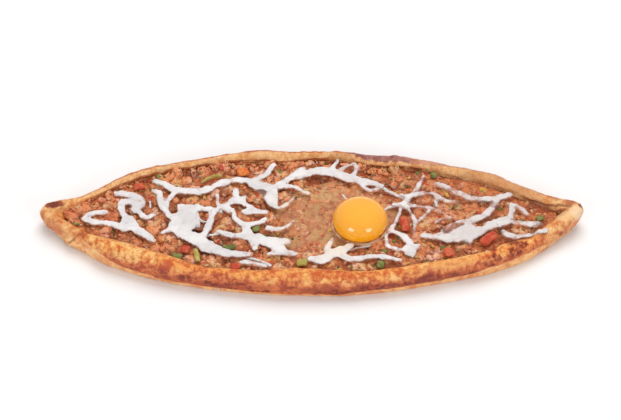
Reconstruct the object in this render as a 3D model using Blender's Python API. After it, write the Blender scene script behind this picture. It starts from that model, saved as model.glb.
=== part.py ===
"""A boat-shaped Turkish pide: bread with a folded rim, minced-meat filling, egg and strands of melted cheese.

Metres, +Z up, +X along the boat. The origin is under its middle, on the surface that the bread rests on.
"""

import math

import bmesh
import bpy
from mathutils import Matrix, Vector, noise
from mathutils.bvhtree import BVHTree

MM = 0.001

# Driving dimensions, in millimetres.
HALF_LENGTH = 177.5
NOSE_START = 170.0  # from here outwards each end of the boat rounds off
BASE_THICKNESS = 5.0
FILLING_TOP = 13.4
GAP = 0.4  # between the bread and what lies in it
TOUCH = 0.3  # between toppings and what they lie on
STRAND_RISE = 1.35  # height of a 2 mm wide strand of cheese
STRAND_SOLE = 0.25  # how far its flat underside bulges
STRAND_FLATNESS = 0.45  # how a strand's height grows with its half width, as a power
YOLK_RADIUS = 17.8
YOLK_CENTRE = (31.3, -8.8, 19.0)
YOLK_RISE = 12.4
YOLK_DEPTH = 11.5

# The bread's outline from above: (x, y) along the near side and the far side.
NEAR_EDGE = (
    (-177.5, 1.4), (-171.0, -3.6), (-157.0, -15.2), (-131.0, -34.0), (-97.0, -47.0), (-51.0, -56.0),
    (0.0, -59.9), (44.0, -57.2), (96.0, -45.8), (124.0, -37.4), (143.0, -26.3), (158.0, -14.8),
    (171.0, -4.0), (177.5, 3.0),
)
FAR_EDGE = (
    (-177.5, 10.5), (-168.0, 13.4), (-152.0, 19.2), (-118.0, 41.0), (-97.0, 46.8), (-66.0, 53.6),
    (-52.0, 59.2), (-36.0, 60.4), (-8.0, 58.2), (20.0, 58.6), (42.0, 54.8), (56.0, 54.2),
    (76.0, 47.8), (102.0, 41.9), (120.0, 37.4), (157.0, 18.4), (177.5, 8.8),
)
# The rolled rim, pressed by hand to an uneven height and width: (x, height) and (x, width).
NEAR_HEIGHT = (
    (-177.5, 15.0), (-163.0, 14.6), (-150.0, 13.0), (-132.0, 16.5), (-112.0, 17.8), (-90.0, 17.2),
    (-68.0, 15.0), (-8.0, 17.6), (35.0, 15.2), (70.0, 16.4), (125.0, 15.6), (146.0, 13.5),
    (163.0, 15.5), (177.5, 17.6),
)
FAR_HEIGHT = (
    (-177.5, 15.0), (-150.0, 13.2), (-120.0, 15.0), (-60.0, 16.2), (-10.0, 17.2), (60.0, 16.6),
    (110.0, 16.6), (150.0, 14.8), (163.0, 15.8), (177.5, 17.6),
)
NEAR_WIDTH = (
    (-177.5, 8.0), (-160.0, 11.5), (-145.0, 13.2), (-122.0, 16.6), (-95.0, 14.8), (-72.0, 11.0),
    (-35.0, 11.0), (-5.0, 14.2), (35.0, 12.0), (108.0, 11.4), (124.0, 15.0), (145.0, 12.4),
    (158.0, 16.0), (177.5, 8.0),
)
FAR_WIDTH = (
    (-177.5, 7.0), (-160.0, 7.5), (-125.0, 9.0), (-97.0, 5.8), (-66.0, 6.0), (-44.0, 11.2),
    (-8.0, 6.0), (20.0, 6.8), (50.0, 10.4), (76.0, 6.4), (110.0, 10.2), (150.0, 11.4),
    (177.5, 7.0),
)
UNDERSIDE = ((-177.5, 4.6), (-162.0, 1.6), (-146.0, 0.0), (146.0, 0.0), (160.0, 1.8), (177.5, 6.4))
CAVITY_ENDS = (-168.0, 169.0)
CAVITY_SLOPE = 11.0

# One side of the rolled rim, from under the bread over the top and down to the filling:
# (share of the rim's width inwards, share of its height).
RIM_PROFILE = (
    (0.42, 0.00), (0.20, 0.00), (0.10, 0.05), (0.07, 0.16), (0.10, 0.23), (0.02, 0.36), (0.00, 0.52),
    (0.05, 0.68), (0.16, 0.84), (0.33, 0.96), (0.52, 1.00), (0.70, 0.97), (0.86, 0.86), (0.97, 0.70),
    (1.00, 0.50),
)
CREST = 10  # place of the highest point in RIM_PROFILE
CREASE = 1.2  # how deep the pinched ends dip along their middle
RIPPLE = 0.7


def through(points, x):
    """A smooth curve through the points (x, value), read at x."""
    last = len(points) - 1
    i = 0
    while i < last - 1 and x > points[i + 1][0]:
        i += 1

    def slope(k):
        a, b = points[max(k - 1, 0)], points[min(k + 1, last)]
        return (b[1] - a[1]) / (b[0] - a[0])

    (x0, y0), (x1, y1) = points[i], points[i + 1]
    span = x1 - x0
    t = min(max((x - x0) / span, 0.0), 1.0)
    return (
        y0 * (1 + 2 * t) * (1 - t) ** 2
        + slope(i) * span * t * (1 - t) ** 2
        + y1 * t * t * (3 - 2 * t)
        + slope(i + 1) * span * t * t * (t - 1)
    )


def underside(x):
    """Height of the bread's underside at x: dead flat on the table, lifting at the two ends."""
    return max(0.0, through(UNDERSIDE, x))


def smoothstep(t):
    t = min(max(t, 0.0), 1.0)
    return t * t * (3 - 2 * t)


def openness(x):
    """1 along the open boat, 0 where its ends are pinched shut."""
    left, right = CAVITY_ENDS
    return smoothstep(min(x - left, right - x) / CAVITY_SLOPE)


def rim_point(x, side, inwards, height_share, width):
    """A point of the rolled rim in millimetres. side is -1 for the near rim and 1 for the far one."""
    edge, height = (NEAR_EDGE, NEAR_HEIGHT) if side < 0 else (FAR_EDGE, FAR_HEIGHT)
    under = underside(x)
    z = under + (through(height, x) - under) * height_share
    y = through(edge, x) - side * inwards * width
    if 0.1 < inwards + height_share and height_share > 0.03 and inwards < 0.6:
        y += side * RIPPLE * noise.noise(Vector((x * 0.07, side * 5.0, z * 0.12)))
        z += RIPPLE * height_share * noise.noise(Vector((x * 0.09, side * 9.0 + 3.0, 0.0)))
    return y, z


def rim_widths(x):
    """Widths of both rims, squeezed where the boat is too narrow for them."""
    near, far = through(NEAR_WIDTH, x), through(FAR_WIDTH, x)
    room = through(FAR_EDGE, x) - through(NEAR_EDGE, x) - 1.6
    squeeze = min(1.0, room / (near + far))
    return near * squeeze, far * squeeze


def floor_height(x):
    top = min(through(NEAR_HEIGHT, x), through(FAR_HEIGHT, x)) - CREASE
    return BASE_THICKNESS + (top - BASE_THICKNESS) * (1 - openness(x))


def bread_side(x, side):
    """One side of the bread's cross-section at x, from under it to the foot of the inner wall."""
    width = rim_widths(x)[0 if side < 0 else 1]
    floor = floor_height(x)
    points = []
    for k, (inwards, share) in enumerate(RIM_PROFILE):
        y, z = rim_point(x, side, inwards, share, width)
        if k > CREST:
            closed = through(NEAR_HEIGHT if side < 0 else FAR_HEIGHT, x) - CREASE * (k - CREST) / 5
            z = closed + (z - closed) * openness(x)
        points.append((y, z))
    points.append((points[-1][0] - side * 0.1, min(floor, points[-1][1] - 0.05)))
    return points


def bread_section(x):
    """The bread's closed cross-section at x, rounded towards its middle on the nose."""
    near, far = bread_side(x, -1), bread_side(x, 1)
    foot_near, foot_far = near[-1], far[-1]
    floor = [
        (foot_near[0] + (foot_far[0] - foot_near[0]) * t, min(foot_near[1], foot_far[1]))
        for t in (0.25, 0.5, 0.75)
    ]
    under = ((near[0][0] + far[0][0]) / 2, underside(x))
    loop = near + floor + far[::-1] + [under]
    beyond = max(0.0, abs(x) - NOSE_START) / (HALF_LENGTH - NOSE_START)
    shrink = math.sqrt(max(0.0, 1 - beyond * beyond))
    middle = (
        (through(NEAR_EDGE, x) + through(FAR_EDGE, x)) / 2,
        (underside(x) + through(NEAR_HEIGHT, x)) / 2,
    )
    return [(middle[0] + (y - middle[0]) * shrink, middle[1] + (z - middle[1]) * shrink) for y, z in loop]


def stations(start, stop, step):
    count = max(1, round((stop - start) / step))
    return [start + (stop - start) * i / count for i in range(count + 1)]


BODY_STATIONS = stations(-160.0, 160.0, 9.4)
END_STATIONS = (164.0, 168.5, 172.5, 175.3, 176.9)


def loft(sections, end_points=None):
    """A closed shell through rings of points: bmesh with caps, or with a point at each end."""
    shell = bmesh.new()
    rings = [[shell.verts.new(Vector(p) * MM) for p in ring] for ring in sections]
    for a, b in zip(rings, rings[1:]):
        for k in range(len(a)):
            shell.faces.new((a[k], a[k - 1], b[k - 1], b[k]))
    if end_points:
        for ring, tip in zip((rings[0], rings[-1]), end_points):
            top = shell.verts.new(Vector(tip) * MM)
            for k in range(len(ring)):
                shell.faces.new((ring[k - 1], ring[k], top))
    else:
        shell.faces.new(rings[0])
        shell.faces.new(rings[-1][::-1])
    bmesh.ops.recalc_face_normals(shell, faces=shell.faces)
    return shell


def material(name, colour, roughness):
    made = bpy.data.materials.new(name)
    made.use_nodes = True
    shader = made.node_tree.nodes["Principled BSDF"]
    shader.inputs["Base Color"].default_value = (*colour, 1.0)
    shader.inputs["Roughness"].default_value = roughness
    shader.inputs["Metallic"].default_value = 0.0
    return made


def add(name, shell, finish=None):
    """An object from a bmesh, shaded smooth except over sharp edges."""
    mesh = bpy.data.meshes.new(name)
    shell.to_mesh(mesh)
    shell.free()
    made = bpy.data.objects.new(name, mesh)
    bpy.context.scene.collection.objects.link(made)
    mesh.shade_smooth()
    mesh.set_sharp_from_angle(angle=math.radians(50))
    if finish:
        mesh.materials.append(finish)
    return made


def hide(helper):
    helper.hide_render = True
    helper.display_type = "WIRE"
    return helper


def clearance(source, name, distance=TOUCH):
    """A cutter a little larger all round than the source."""
    shell = bmesh.new()
    graph = bpy.context.evaluated_depsgraph_get()
    shell.from_object(source, graph)
    bmesh.ops.remove_doubles(shell, verts=shell.verts, dist=0.00001)
    shell.normal_update()
    for v in shell.verts:
        v.co += v.normal * distance * MM * v.calc_shell_factor()
    return hide(add(name, shell))


def cut(target, cutter):
    step = target.modifiers.new("cut by " + cutter.name, "BOOLEAN")
    step.operation = "DIFFERENCE"
    step.solver = "EXACT"
    step.object = cutter


def surface_of(*pieces):
    """What lies under the cheese, for looking straight down on."""
    shell = bmesh.new()
    graph = bpy.context.evaluated_depsgraph_get()
    for piece in pieces:
        shell.from_object(piece, graph)
    tree = BVHTree.FromBMesh(shell)
    shell.free()
    return tree


def near(a, b):
    """Whether the boxes round two objects meet."""
    boxes = []
    for thing in (a, b):
        corners = [Vector(c) for c in thing.bound_box]
        boxes.append(([min(c[i] for c in corners) for i in range(3)], [max(c[i] for c in corners) for i in range(3)]))
    (low_a, high_a), (low_b, high_b) = boxes
    return all(low_a[i] < high_b[i] and low_b[i] < high_a[i] for i in range(3))


def make_bread(finish):
    xs = [-x for x in reversed(END_STATIONS)] + BODY_STATIONS + list(END_STATIONS)
    sections = [[(x, y, z) for y, z in bread_section(x)] for x in xs]
    tips = []
    for end in (-HALF_LENGTH, HALF_LENGTH):
        tips.append((
            end,
            (through(NEAR_EDGE, end) + through(FAR_EDGE, end)) / 2,
            (underside(end) + through(NEAR_HEIGHT, end)) / 2,
        ))
    return add("crust", loft(sections, tips), finish)


def filling_height(x, y):
    """The top of the minced meat: level, lower towards the boat's ends, and lumpy."""
    level = FILLING_TOP - 2.2 * (abs(x) / 160.0) ** 4
    coarse = noise.noise(Vector((x * 0.055, y * 0.055, 4.0)))
    fine = noise.noise(Vector((x * 0.13, y * 0.13, 9.0)))
    return level + 0.9 * coarse + 0.5 * fine


def wall_at(side_points, z):
    """Where the inner wall of the bread stands at height z, on one side of a cross-section."""
    inner = side_points[CREST:]
    for (y0, z0), (y1, z1) in zip(inner, inner[1:]):
        if z1 <= z <= z0 and z0 > z1:
            return y0 + (y1 - y0) * (z0 - z) / (z0 - z1)
    return inner[-1][0]


def make_filling(finish):
    across = 10
    sections = []
    for x in BODY_STATIONS:
        near, far = bread_side(x, -1), bread_side(x, 1)
        floor = min(near[-1][1], far[-1][1]) + GAP
        ring = []
        edges = []
        for side, points in ((-1, near), (1, far)):
            top = filling_height(x, wall_at(points, FILLING_TOP))
            levels = [floor, floor + (top - floor) * 0.4, floor + (top - floor) * 0.75, top]
            edges.append([(wall_at(points, z) - side * GAP, z) for z in levels])
        y0, y1 = edges[0][-1][0], edges[1][-1][0]
        top_line = []
        for k in range(1, across):
            y = y0 + (y1 - y0) * k / across
            top_line.append((y, filling_height(x, y)))
        ring = edges[0] + top_line + edges[1][::-1]
        sections.append([(x, y, z) for y, z in ring])
    return add("filling", loft(sections), finish)


def make_yolk(finish):
    shell = bmesh.new()
    bmesh.ops.create_uvsphere(shell, u_segments=20, v_segments=12, radius=1.0)
    for v in shell.verts:
        tall = YOLK_RISE if v.co.z > 0 else YOLK_DEPTH
        v.co = Vector((v.co.x * YOLK_RADIUS, v.co.y * YOLK_RADIUS, v.co.z * tall)) + Vector(YOLK_CENTRE)
        v.co *= MM
    return add("egg_yolk", shell, finish)


def make_white(finish):
    """The egg white: a thin puddle set around the yolk, with a wandering edge."""
    rings, sectors = 5, 30
    middle = Vector((12.0, 1.0))
    top, bottom = [], []
    shell = bmesh.new()

    def reach(angle):
        lobes = 0.10 * math.sin(2 * angle + 0.6) + 0.07 * math.sin(3 * angle + 2.0) + 0.04 * math.sin(5 * angle)
        return 40.0 * (1 + lobes)

    for k in range(rings + 1):
        share = k / rings
        lift = 0.08 + 0.3 * (1 - share ** 4)
        thick = 0.45 + 0.9 * (1 - share * share)
        upper, lower = [], []
        for s in range(sectors if k else 1):
            angle = 2 * math.pi * s / sectors
            spot = middle + Vector((math.cos(angle) * 1.06, math.sin(angle) * 0.9)) * reach(angle) * share
            surface = filling_height(spot.x, spot.y)
            upper.append(shell.verts.new(Vector((spot.x, spot.y, surface + lift)) * MM))
            lower.append(shell.verts.new(Vector((spot.x, spot.y, surface + lift - thick)) * MM))
        top.append(upper)
        bottom.append(lower)
    for layer in (top, bottom):
        for s in range(sectors):
            shell.faces.new((layer[0][0], layer[1][s - 1], layer[1][s]))
            for k in range(1, rings):
                shell.faces.new((layer[k][s - 1], layer[k + 1][s - 1], layer[k + 1][s], layer[k][s]))
    for s in range(sectors):
        shell.faces.new((top[-1][s - 1], top[-1][s], bottom[-1][s], bottom[-1][s - 1]))
    bmesh.ops.recalc_face_normals(shell, faces=shell.faces)
    return add("egg_white", shell, finish)


# Melted cheese, laid in strands that run together into nets. Each strand is
# (width at its start, width at its end, (x, y), (x, y), ...).
CHEESE = {
    "cheese_left": (
        (4.5, 5.0, (-131, 2.4), (-140, 2.6), (-148, 0.2)),
        (5.5, 5.5, (-149, -0.6), (-143, -4.9), (-134, -6.6), (-126, -9.4), (-118, -13.4)),
        (5.5, 6.0, (-130.5, 19.6), (-121, 19.6), (-113.5, 16.3), (-110, 10.1), (-112, 6.1)),
        (5.5, 5.5, (-111, 7.8), (-117.5, 11.6), (-124, 12.4), (-124, 6.1), (-121, -1.9)),
        (8.0, 12.5, (-121, -1.4), (-118, -6.9), (-115, -13.2)),
        (5.0, 5.0, (-118, 7.6), (-111, 1.1), (-107, -3.4), (-100.5, 2.8)),
        (8.5, 5.0, (-114, -12.4), (-106, -18.4), (-99.5, -24.2)),
    ),
    "cheese_centre": (
        (5.5, 7.0, (-105, 32.6), (-97, 27.4), (-88, 22.9), (-79, 20.9)),
        (7.0, 5.5, (-79, 20.9), (-70, 21.8), (-62, 27.6), (-50, 31.8), (-40, 30.8)),
        (5.0, 6.0, (-106, 22), (-100.5, 21), (-98.5, 11.6), (-94, 1.6), (-88, -4.9)),
        (4.5, 4.5, (-89, 21.1), (-94, 13.1), (-95, 4.1)),
        (7.5, 6.5, (-88, 6.8), (-71, 6.2)),
        (15.0, 14.0, (-82.5, 3.1), (-81, -5.9), (-79, -13.4)),
        (8.0, 12.0, (-91, -6.9), (-83, -15.9), (-73, -22.6), (-64, -29.9)),
        (11.0, 4.5, (-64, -29.9), (-54, -33.9), (-38, -35)),
        (5.0, 4.0, (-84, -12.4), (-92, -13.4), (-97, -17.4)),
        (5.0, 5.5, (-49.5, 24.6), (-50, 17.1), (-53, 11.1), (-61, 6.1)),
        (5.0, 6.5, (-61, 6.1), (-65, -1.9), (-66, -9.9), (-70, -20.4)),
        (4.0, 4.5, (-62, 19.1), (-61.5, 12.1), (-60, 7.1)),
        (5.0, 5.5, (-42, 17), (-47, 13.9), (-52, 11.6)),
        (5.5, 5.0, (-49, 12.6), (-42, 9.1), (-37, 3.1), (-28, 2.1)),
        (5.0, 4.5, (-58, 6.1), (-51, 3.1), (-49, -4.9), (-43, -9), (-35, -7.6), (-28.5, -3)),
        (5.0, 4.5, (-46, 2.6), (-36, 1.6)),
        (6.0, 7.0, (-43.5, -9.5), (-42, -14), (-39, -19)),
        (5.0, 6.0, (-62, -14.4), (-50, -18.9), (-37, -19.4)),
        (7.0, 5.0, (-38, -19.9), (-37, -25.4), (-35.5, -31.4)),
        (9.0, 5.0, (-37, -19.9), (-27, -22.4), (-12, -24.4)),
        (9.0, 7.0, (-31, -22.4), (-24, -27.9), (-17, -33.4)),
        (4.5, 4.5, (-29, -35.4), (-20, -33.4), (-8, -34.4)),
        (5.0, 5.5, (-23.5, 48), (-27.5, 42.6), (-30, 36.6), (-37, 33)),
        (9.5, 7.5, (-41, 31), (-35, 25.6), (-29, 17.6), (-25, 9.6)),
        (7.5, 6.0, (-37, 28), (-27, 24.6), (-24.5, 15.6), (-25, 8.6)),
        (4.5, 3.5, (-26, 8.6), (-21, 6), (-15.5, 9.6), (-11, 16.6)),
        (5.5, 4.5, (-27, 24), (-19, 29.6), (-11, 37.6), (-4, 44.6)),
        (5.0, 4.5, (-24, 25.6), (-13, 25.6), (-1, 18.1)),
        (5.5, 9.0, (-14, 33.6), (-5, 37), (5, 40), (14, 39)),
        (9.0, 5.0, (13, 39.5), (22, 34), (34, 30.6), (48, 25.6)),
        (4.5, 4.0, (12, 40.5), (16, 46.5), (17.8, 51.6)),
        (4.5, 3.5, (18, 40.5), (25, 45.6), (30, 49)),
        (3.5, 4.0, (30.3, 48.4), (30, 42.6), (28, 35.6)),
        (3.5, 3.5, (32, 29), (35, 23.8), (39, 21.6), (44, 23), (47.5, 25.6)),
    ),
    "cheese_front": (
        (4.5, 7.0, (-3, -37.9), (3, -39), (8, -37.6)),
        (6.0, 9.0, (4.5, -43.6), (7, -39.6), (13, -34.6)),
        (9.0, 4.5, (13, -34.6), (20, -31), (28, -26.6)),
        (4.0, 5.0, (14, -20), (12, -25.6), (8, -33.6)),
        (5.5, 4.5, (18, -34.6), (24, -39.1), (31, -38.3), (41, -36.6), (50, -38), (57.5, -41)),
    ),
    "cheese_web": (
        (3.5, 3.5, (51.5, 8.8), (60, 9.5), (71, 7.5), (80, 5.1), (87, 0)),
        (4.5, 4.5, (57, 19.1), (63, 16.8), (74, 19.7), (81, 18.5), (87, 12.5), (97, 11.8)),
        (3.5, 5.0, (74.8, 37.4), (72.4, 31), (69.5, 24.5), (66.5, 18)),
        (4.5, 4.5, (65.5, 17.5), (62, 12), (59, 9)),
        (3.5, 3.5, (59, 8.5), (56, -2.5), (51.5, -11.5), (47.5, -19.5)),
        (3.5, 4.5, (47.3, -18.5), (48.5, -27.5), (57, -31.5)),
        (3.5, 3.5, (61, 8.5), (66.5, -4.5), (65.5, -18.5)),
        (3.5, 3.5, (78, 5), (72, -2.5), (67, -7.5)),
        (4.0, 7.0, (50, -14), (58, -18), (64, -26.5)),
        (8.5, 9.5, (58.5, -29.6), (64, -31.4), (61.5, -36.6)),
        (7.0, 4.0, (64, -31), (70.5, -27)),
        (4.0, 4.0, (81, 18), (83, 11)),
    ),
    "cheese_right": (
        (6.0, 5.5, (80, 28.5), (89, 24.5), (101, 17), (111, 14.6), (128, 17.7), (132.5, 20.2)),
        (5.5, 6.0, (122, 16.2), (118, 7.5), (112.5, -0.5), (100, -5.5)),
        (7.0, 5.5, (100, -5.5), (91, -10.5), (83, -16)),
        (5.5, 9.5, (69, -18.5), (80, -20), (91, -21.6)),
        (11.5, 12.0, (90, -22.5), (97, -16), (102, -7.5)),
        (5.5, 9.5, (99.5, -26), (105, -17.5), (115, -10), (128, -4.5)),
        (5.5, 4.5, (127, -4.5), (130.3, 3.5), (131, 12.6)),
        (4.5, 4.5, (131, 11.1), (137.5, 6.1), (141.5, 0.6)),
        (6.0, 5.0, (128, -5.2), (138, -7.2), (150.5, -6.8)),
    ),
    "cheese_strand_near": ((4.5, 4.0, (-46.5, -40.6), (-40, -41.6), (-32, -43.6), (-27.5, -46.2)),),
    "cheese_strand_white": ((5.0, 3.5, (-30, -11.5), (-21, -12.7), (-15, -10.5), (-11, -4.5)),),
    "cheese_strand_right": (
        (5.5, 5.0, (122, -13.4), (126, -17.4), (136, -18.6), (147, -15.2), (152.5, -11.5)),
    ),
    "cheese_bit": ((3.5, 3.5, (79, -8), (87, -2.5), (95, -3.3)),),
}


def evaluated_mesh(source):
    """The source's mesh with its modifiers applied; the source is removed."""
    graph = bpy.context.evaluated_depsgraph_get()
    mesh = bpy.data.meshes.new_from_object(source.evaluated_get(graph))
    bpy.data.objects.remove(source)
    return mesh


def link(name, data):
    made = bpy.data.objects.new(name, data)
    bpy.context.scene.collection.objects.link(made)
    bpy.context.view_layer.update()
    return made


def make_net(name, strands, finish, ground, triangles):
    """Tubes on a flat sheet, melted into one body, flattened, and laid on the ground below them."""
    curve = bpy.data.curves.new(name, "CURVE")
    curve.dimensions = "3D"
    curve.bevel_depth = MM
    curve.bevel_resolution = 3
    curve.use_fill_caps = True
    for start_width, end_width, *spots in strands:
        line = curve.splines.new("POLY")
        path = smooth_path([Vector(spot) for spot in spots])
        line.points.add(len(path) - 1)
        for i, spot in enumerate(path):
            share = i / (len(path) - 1)
            width = start_width + (end_width - start_width) * share
            width *= 1 + 0.15 * noise.noise(Vector((spot.x * 0.21, spot.y * 0.21, 2.0)))
            to_end = min(i, len(path) - 1 - i)
            line.points[i].co = (spot.x * MM, spot.y * MM, 0.0, 1.0)
            line.points[i].radius = width / 2 * (0.72 if to_end == 0 else 1.0)
    net = link(name, evaluated_mesh(link(name + "_path", curve)))
    melt = net.modifiers.new("melt together", "REMESH")
    melt.mode = "VOXEL"
    melt.voxel_size = 0.7 * MM
    soften = net.modifiers.new("soften", "SMOOTH")
    soften.iterations = 4
    soften.factor = 0.5
    mesh = evaluated_mesh(net)
    for v in mesh.vertices:
        under = ground.ray_cast(Vector((v.co.x, v.co.y, 50 * MM)), Vector((0, 0, -1)))[0].z
        height = v.co.z / MM
        rise = STRAND_RISE * height ** STRAND_FLATNESS if height > 0 else STRAND_SOLE * (math.exp(height) - 1)
        v.co.z = under + (TOUCH + STRAND_SOLE + rise) * MM
    mesh.shade_smooth()
    mesh.materials.clear()
    mesh.materials.append(finish)
    net = link(name, mesh)
    thin = net.modifiers.new("fewer faces", "DECIMATE")
    thin.ratio = min(1.0, triangles / (2 * len(mesh.polygons)))
    return net


def smooth_path(spots, step=2.5):
    """Points about a step apart on a smooth curve through the spots."""
    ends = [spots[0] * 2 - spots[1], *spots, spots[-1] * 2 - spots[-2]]
    path = []
    for a, b, c, d in zip(ends, ends[1:], ends[2:], ends[3:]):
        pieces = max(1, round((c - b).length / step))
        for i in range(pieces):
            t = i / pieces
            path.append(
                0.5 * (2 * b + (c - a) * t + (2 * a - 5 * b + 4 * c - d) * t * t + (3 * b - a - 3 * c + d) * t ** 3)
            )
    path.append(spots[-1])
    return path


# Vegetables that lie on the meat: (x, y, length, width, thickness, turn in degrees, bend).
TOMATO = (
    (113.5, -20.5, 14.0, 7.0, 4.2, 42.0),
    (60.2, -7.5, 5.5, 12.5, 3.8, 5.0),
    (87.0, -32.5, 6.0, 7.5, 4.0, 15.0),
    (-113.5, 27.0, 7.5, 6.0, 3.8, 10.0),
    (-80.5, -29.8, 6.5, 6.0, 4.0, -20.0),
    (-48.0, -45.0, 6.5, 5.5, 3.8, 0.0),
    (-45.5, 39.0, 8.0, 7.0, 4.0, 20.0),
)
PEPPER = (
    (-66.0, 34.0, 15.0, 3.6, 3.6, 22.0),
    (-72.8, -35.5, 3.6, 11.0, 3.6, 10.0),
    (-85.5, -35.8, 7.0, 4.8, 3.6, -8.0),
    (-35.5, -12.5, 5.5, 4.5, 3.4, 20.0),
    (-52.5, -27.6, 8.5, 4.8, 3.4, 5.0),
    (43.5, -43.0, 5.0, 6.5, 3.6, -15.0),
    (-6.0, -41.5, 6.5, 5.5, 3.6, 10.0),
    (81.0, 37.0, 4.5, 5.5, 3.4, 15.0),
    (148.0, -1.0, 6.0, 4.0, 3.2, 30.0),
)


def make_chunk(name, place, finish):
    """A diced vegetable: a rounded block, a little crooked, half sunk in the meat."""
    x, y, length, width, thick, turn = place
    shell = bmesh.new()
    bmesh.ops.create_cube(shell, size=1.0)
    for v in shell.verts:
        lean = 1 + 0.22 * noise.noise(v.co * 3.1 + Vector((x, y, 0)))
        v.co = Vector((v.co.x * length * lean, v.co.y * width * lean, v.co.z * thick))
    bmesh.ops.bevel(
        shell, geom=shell.edges[:], offset=0.28 * thick, segments=1, affect="EDGES"
    )
    place_matrix = Matrix.Translation(Vector((x, y, filling_height(x, y) + 0.25 * thick))) @ Matrix.Rotation(
        math.radians(turn), 4, "Z"
    )
    for v in shell.verts:
        v.co = (place_matrix @ v.co) * MM
    return add(name, shell, finish)


def main():
    for old in list(bpy.data.objects):
        bpy.data.objects.remove(old)
    bread = make_bread(material("bread", (0.62, 0.33, 0.13), 0.75))
    filling = make_filling(material("minced_meat", (0.33, 0.12, 0.06), 0.55))
    white = make_white(material("set_egg_white", (0.72, 0.55, 0.4), 0.2))
    yolk = make_yolk(material("yolk", (0.95, 0.42, 0.01), 0.12))
    meat_clear = clearance(filling, "meat_clear")
    white_clear = clearance(white, "white_clear")
    yolk_clear = clearance(yolk, "yolk_clear")
    bread_clear = clearance(bread, "bread_clear")

    chunks = []
    for kind, places, colour in (("tomato", TOMATO, (0.6, 0.08, 0.03)), ("pepper", PEPPER, (0.16, 0.24, 0.04))):
        finish = material(kind, colour, 0.35)
        for number, place in enumerate(places, 1):
            chunk = make_chunk(f"{kind}_{number}", place, finish)
            cut(chunk, meat_clear)
            cut(chunk, bread_clear)
            chunks.append(chunk)
    chunk_clear = [clearance(chunk, chunk.name + "_clear") for chunk in chunks]

    cheese = material("melted_cheese", (0.86, 0.82, 0.74), 0.3)
    ground = surface_of(bread, filling, white)
    for name, strands in CHEESE.items():
        length = sum(
            (Vector(b) - Vector(a)).length
            for _, _, *spots in strands
            for a, b in zip(spots, spots[1:])
        )
        net = make_net(name, strands, cheese, ground, triangles=40 + 1.7 * length)
        for cutter in (yolk_clear, *chunk_clear):
            if near(net, cutter):
                cut(net, cutter)

    cut(white, yolk_clear)
    cut(filling, white_clear)
    cut(filling, yolk_clear)


main()
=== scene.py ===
# A Turkish pide: an open boat of bread filled with minced meat, peppers and tomato,
# with strands of melted cheese and an egg on top. Lengths in the working lists are millimetres.
import math
import random

import bpy
import numpy as np
from mathutils import Matrix, Vector, noise
from mathutils.bvhtree import BVHTree


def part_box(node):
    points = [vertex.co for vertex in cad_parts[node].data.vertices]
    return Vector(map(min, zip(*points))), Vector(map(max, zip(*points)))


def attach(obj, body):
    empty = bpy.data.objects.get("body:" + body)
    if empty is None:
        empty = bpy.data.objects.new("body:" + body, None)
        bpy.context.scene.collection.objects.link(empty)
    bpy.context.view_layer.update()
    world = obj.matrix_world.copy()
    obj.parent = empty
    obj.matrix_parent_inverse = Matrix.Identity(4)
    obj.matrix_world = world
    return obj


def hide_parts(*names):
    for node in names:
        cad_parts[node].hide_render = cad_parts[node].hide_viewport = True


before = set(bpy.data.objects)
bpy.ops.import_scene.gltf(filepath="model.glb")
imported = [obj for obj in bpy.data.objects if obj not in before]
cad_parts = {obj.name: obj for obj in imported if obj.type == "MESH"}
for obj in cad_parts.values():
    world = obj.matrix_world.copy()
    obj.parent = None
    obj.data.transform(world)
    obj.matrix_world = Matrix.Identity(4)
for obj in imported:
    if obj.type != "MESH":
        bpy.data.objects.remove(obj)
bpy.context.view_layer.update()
MM = 0.001

# ---------------------------------------------------------------------------------------------
# The table, the light and the view. A white table top under soft studio light: two small soft
# boxes low in front, a broad one overhead, and pale walls all round.
VIEW_HEIGHT = math.radians(46.0)
VIEW_DISTANCE = 1.15
VIEW_TARGET = Vector((-0.0007, 0.018, 0.0))
toward_viewer = Vector((0.0, -math.cos(VIEW_HEIGHT), math.sin(VIEW_HEIGHT)))
bpy.ops.object.camera_add(
    location=VIEW_TARGET + toward_viewer * VIEW_DISTANCE,
    rotation=(math.radians(90.0) - VIEW_HEIGHT, 0.0, 0.0),
)
camera = bpy.context.object
camera.data.sensor_width = 36.0
camera.data.lens = 100.73
camera.data.clip_start = 0.01
bpy.context.scene.camera = camera
bpy.context.scene.view_settings.view_transform = "Standard"

SOFT_BOXES = (  # name, bearing, height, distance, width, tallness, watts
    ("front left box", -38.0, 24.0, 1.5, 0.50, 0.52, 4.3),
    ("front right box", 36.0, 24.0, 1.5, 0.50, 0.52, 4.3),
    ("overhead box", 172.0, 64.0, 1.5, 1.1, 1.1, 15.0),
)
for name, bearing, height, distance, width, tallness, watts in SOFT_BOXES:
    turn, rise = math.radians(bearing), math.radians(height)
    level = distance * math.cos(rise)
    place = Vector((math.sin(turn) * level, -math.cos(turn) * level, distance * math.sin(rise)))
    facing_middle = place.to_track_quat("Z", "Y").to_euler()
    bpy.ops.object.light_add(type="AREA", location=place, rotation=facing_middle)
    lamp = bpy.context.object
    lamp.name = name
    lamp.data.shape = "RECTANGLE"
    lamp.data.size = width
    lamp.data.size_y = tallness
    lamp.data.energy = watts
    lamp.visible_glossy = width < 1.0

studio = bpy.data.worlds.new("studio")
studio.use_nodes = True
studio.node_tree.nodes["Background"].inputs["Color"].default_value = (1.0, 0.99, 0.98, 1.0)
studio.node_tree.nodes["Background"].inputs["Strength"].default_value = 0.52
bpy.context.scene.world = studio

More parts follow.
